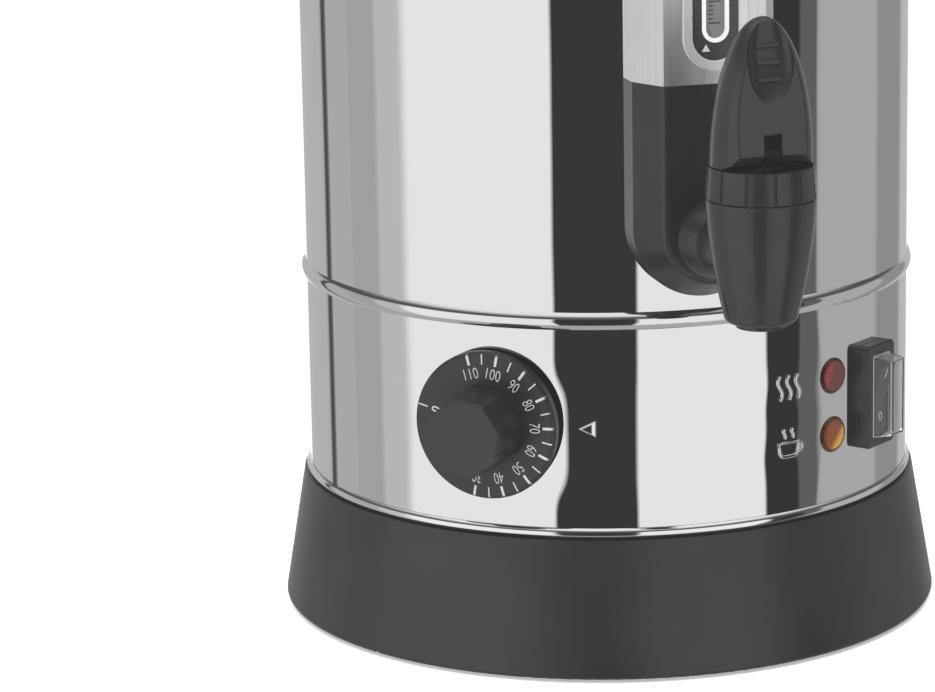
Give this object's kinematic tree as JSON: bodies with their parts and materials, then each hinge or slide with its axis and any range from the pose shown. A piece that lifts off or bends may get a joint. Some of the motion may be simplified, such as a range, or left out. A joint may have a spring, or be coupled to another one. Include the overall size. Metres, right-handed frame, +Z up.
{
  "type": "mulled wine urn",
  "caption": "Free-standing heated drink urn: polished steel tank on a black base, lever tap, sight gauge, thermostat knob, rocker switch, pilot lamps, side handles and lid.",
  "frame": {"origin": "on the tank's axis, at the level of the rubber feet's faces", "axes": "+Z up along the tank's axis, the front with the tap and the gauge faces -Y, +X to the right seen from the front"},
  "size_m": [0.324, 0.3451, 0.43],
  "materials": {
    "base_plastic": "fine satin grain, black",
    "tap_plastic": "satin, black",
    "knob_plastic": "satin, black, with light numbers",
    "switch_plastic": "glossy, black",
    "mirror_steel": "mirror-polished stainless steel",
    "brushed_steel": "vertically brushed stainless steel",
    "bright_trim": "polished",
    "panel_black": "satin, black, with light marks",
    "slot_white": "satin, white",
    "clear_plastic": "clear",
    "red_lens": "faceted, red, translucent",
    "amber_lens": "faceted, amber, translucent",
    "black_rubber": "matte",
    "silicone": "matte, food grade",
    "heat_plastic": "matte, heat resistant",
    "plain_steel": "zinc plated",
    "stainless": "machined",
    "aluminium_plate": "cast, plain",
    "copper": "drawn copper",
    "brass": "stamped"
  },
  "bodies": {
    "urn": {"base_ring": "base_plastic", "base_plate": "plain_steel", "feet": "black_rubber", "case_screws": "plain_steel", "trim_ring": "bright_trim", "cord_gland": "base_plastic", "gland_nut": "base_plastic", "lower_shell": "mirror_steel", "tank": "mirror_steel", "wall_screws": "stainless", "screw_seals": "silicone", "heater_plate": "aluminium_plate", "heating_element": "stainless", "heater_bushes": "heat_plastic", "thermostat_body": "heat_plastic", "thermostat_screws": "plain_steel", "sensor_bulb": "copper", "capillary_tube": "copper", "sensor_clips": "plain_steel", "heating_lamp_lens": "red_lens", "warm_lamp_lens": "amber_lens", "lamp_bodies": "heat_plastic", "lamp_nuts": "plain_steel", "switch_frame": "switch_plastic", "switch_body": "switch_plastic", "switch_boot": "clear_plastic", "spade_terminals": "brass", "gauge_housing": "tap_plastic", "gauge_cover": "brushed_steel", "gauge_cap": "tap_plastic", "gauge_frame": "bright_trim", "gauge_panel": "panel_black", "slot_border": "slot_white", "gauge_window": "clear_plastic", "sight_tube": "clear_plastic", "tube_seals": "silicone", "tap_shank": "tap_plastic", "tank_nut": "tap_plastic", "tank_gaskets": "silicone", "tap_escutcheon": "tap_plastic", "tap_body": "tap_plastic", "tap_bonnet": "tap_plastic", "valve_spring": "stainless", "handle_left": "tap_plastic", "handle_right": "tap_plastic", "safety_cutout": "heat_plastic", "terminal_block": "heat_plastic"},
    "knob": {"thermostat_shaft": "plain_steel", "knob_dial": "knob_plastic", "knob_grip": "knob_plastic"},
    "valve": {"valve_stem": "stainless", "valve_cup": "silicone", "lever_pin": "stainless"},
    "lever": {"tap_lever": "tap_plastic"},
    "rocker": {"rocker_key": "switch_plastic"},
    "lid": {"lid": "mirror_steel", "lid_knob": "tap_plastic", "lid_knob_screw": "stainless"},
    "reset": {"reset_button": "switch_plastic"}
  },
  "joints": [
    {"name": "knob_turn", "type": "hinge", "parent": "urn", "child": "knob", "pos_m": [0, 0, 0.097], "axis": [-0.6128, -0.7902, 0], "range_deg": [-102, 195]},
    {"name": "valve_lift", "type": "slide", "parent": "urn", "child": "valve", "axis": [0, 0, 1], "range_m": [0, 0.00299], "deforming": ["valve_spring"]},
    {"name": "lever_tilt", "type": "hinge", "parent": "valve", "child": "lever", "pos_m": [0, -0.193, 0.2035], "axis": [1, 0, 0], "range_deg": [0, 22], "stiffness_Nm_per_rad": 0.4, "springref_deg": -14.32},
    {"name": "rocker_press", "type": "hinge", "parent": "urn", "child": "rocker", "pos_m": [0.07682, -0.09797, 0.097], "axis": [-0.7869, -0.6171, 0], "range_deg": [0, 16]},
    {"name": "lid_lift", "type": "slide", "parent": "urn", "child": "lid", "axis": [0, 0, 1], "range_m": [0, 0.12]},
    {"name": "reset_press", "type": "slide", "parent": "urn", "child": "reset", "axis": [0, 0, 1], "range_m": [0, 0.0014], "stiffness_N_per_m": 400, "springref_m": -0.0005}
  ],
  "couplings": [
    {"joint": "lever_tilt", "follows": "valve_lift", "rad_per_m": 128.2}
  ]
}
